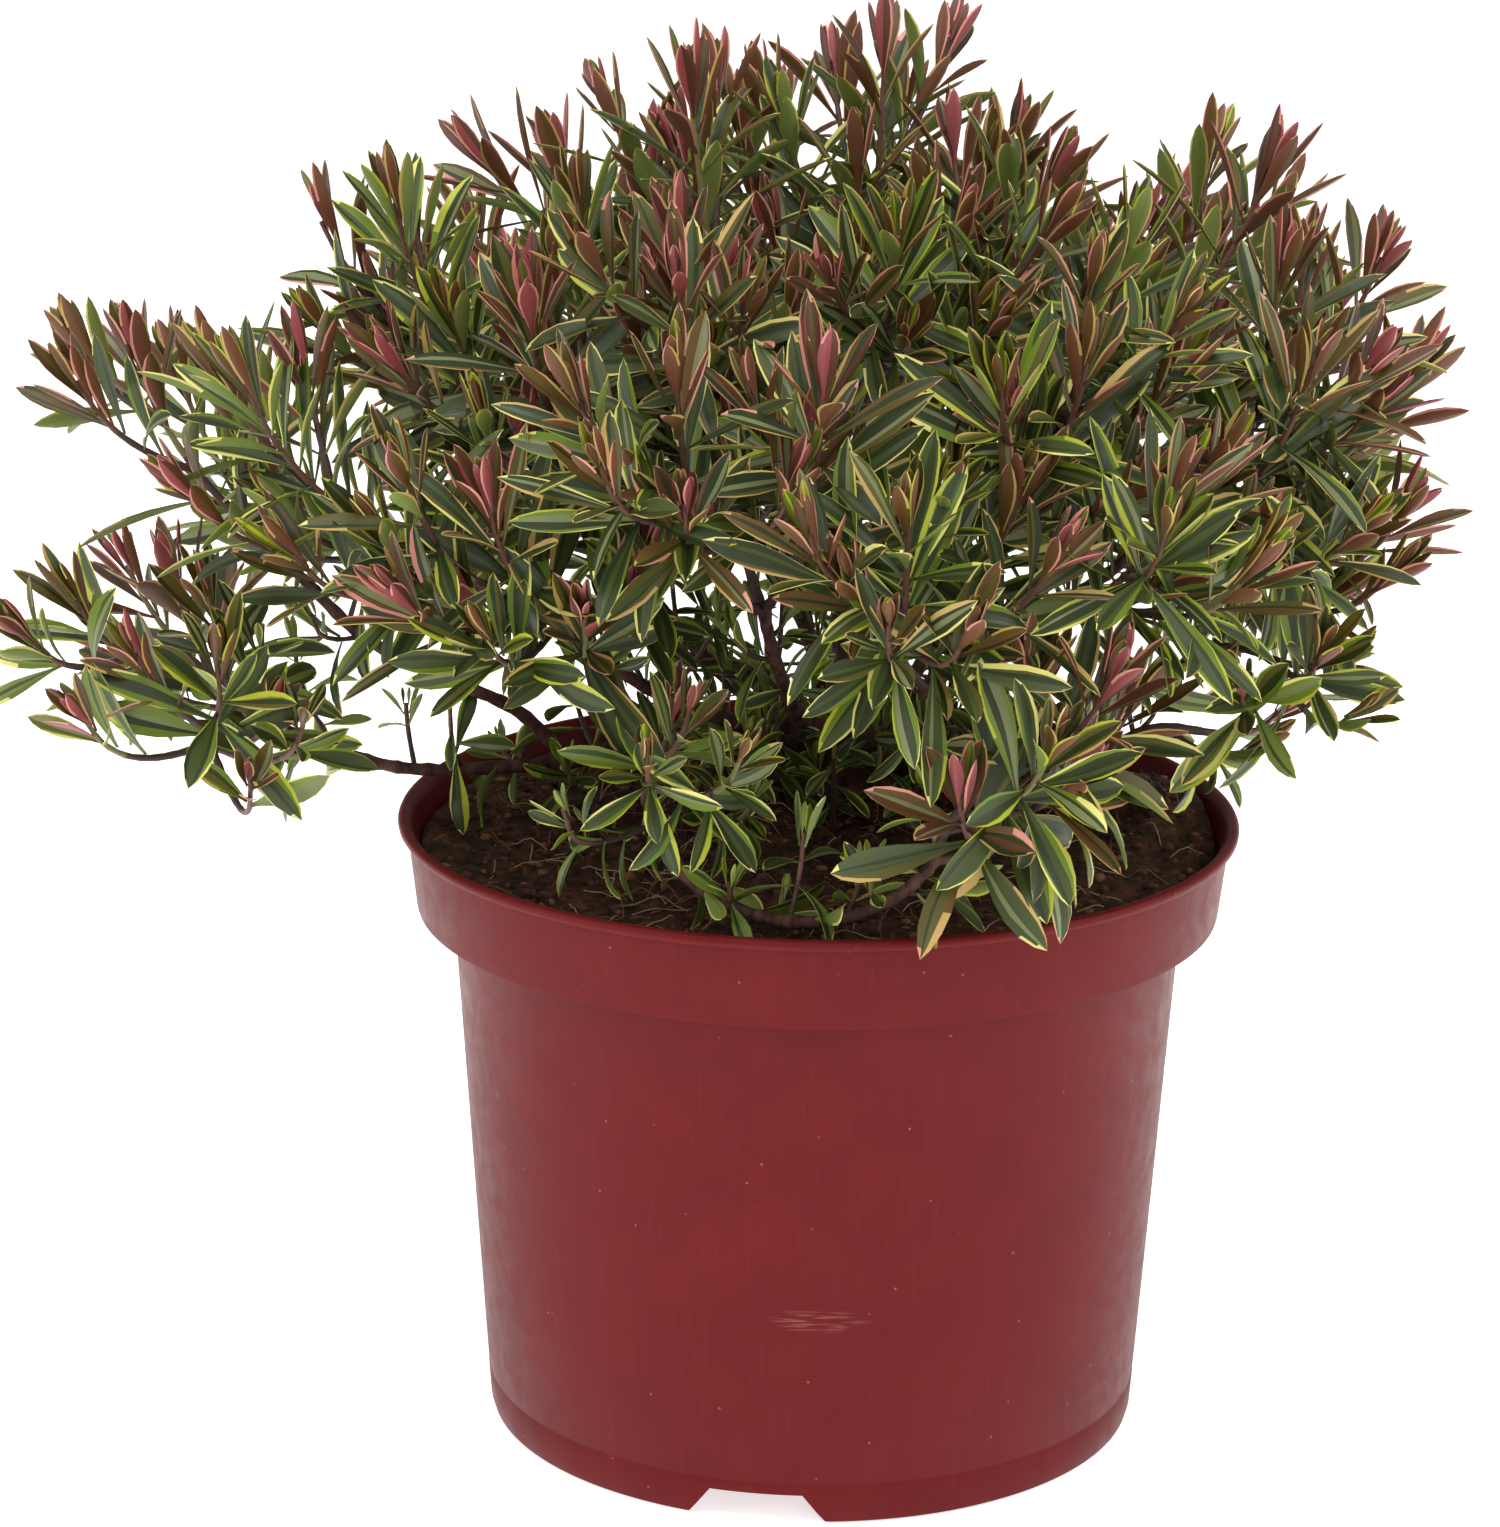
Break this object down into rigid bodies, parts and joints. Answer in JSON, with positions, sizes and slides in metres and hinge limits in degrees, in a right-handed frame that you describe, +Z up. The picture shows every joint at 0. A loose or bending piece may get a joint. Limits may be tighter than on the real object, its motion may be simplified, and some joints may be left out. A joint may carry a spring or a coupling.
{
  "type": "potted hebe shrub",
  "caption": "Low rounded variegated hebe shrub with narrow paired leaves, growing in a round plastic nursery pot filled with soil.",
  "frame": {"origin": "centre of the pot's flat underside, where it stands", "axes": "+Z up along the pot's axis, -Y towards the front that the picture shows, +X to that view's right"},
  "size_m": [0.3031, 0.2742, 0.2942],
  "materials": {
    "pot_plastic": "satin dark red injection-moulded plastic with faint scuffs",
    "soil": "damp dark brown peat with reddish fibres",
    "bark": "thin brown-purple bark, ringed by old leaf scars",
    "foliage": "grey-green leaves with cream to yellow-green margins, mauve-pink at the shoot tips"
  },
  "bodies": {
    "root": {"pot": "pot_plastic", "soil": "soil", "stem_base": "bark", "bough_left_low": "bark", "bough_left_mid": "bark", "bough_left_upper": "bark", "bough_top_left": "bark", "bough_top": "bark", "bough_top_right": "bark", "bough_right_low": "bark", "bough_front": "bark", "bough_front_right": "bark", "bough_front_left": "bark", "bough_back_left": "bark", "bough_back": "bark", "bough_back_right": "bark", "branch_left_long": "bark", "branch_right": "bark", "branch_right_side": "bark", "branch_front_right_upper": "bark", "branch_back_low": "bark", "branch_front_curl": "bark", "foliage_left_low": "foliage", "foliage_left_low_front": "foliage", "foliage_left_mid": "foliage", "foliage_left_front": "foliage", "foliage_front_left_mid": "foliage", "foliage_left_upper": "foliage", "foliage_front_left_upper": "foliage", "foliage_top_left": "foliage", "foliage_top_left_rear": "foliage", "foliage_top": "foliage", "foliage_upper_centre": "foliage", "foliage_top_right": "foliage", "foliage_right_top": "foliage", "foliage_right_upper": "foliage", "foliage_right_mid": "foliage", "foliage_right_side": "foliage", "foliage_right_low": "foliage", "foliage_right_lowest": "foliage", "foliage_upper_left": "foliage", "foliage_front_left": "foliage", "foliage_front_mid": "foliage", "foliage_front_right_mid": "foliage", "foliage_front_right_upper": "foliage", "foliage_upper_right": "foliage", "foliage_front_left_low": "foliage", "foliage_front_right_low": "foliage", "foliage_front_low": "foliage", "foliage_front_centre": "foliage", "foliage_right_front": "foliage", "foliage_back_left_low": "foliage", "foliage_back_left": "foliage", "foliage_back_upper": "foliage", "foliage_back": "foliage", "foliage_back_right_upper": "foliage", "foliage_back_left_mid": "foliage", "foliage_back_right": "foliage", "foliage_back_right_low": "foliage", "foliage_back_low": "foliage"}
  },
  "joints": []
}
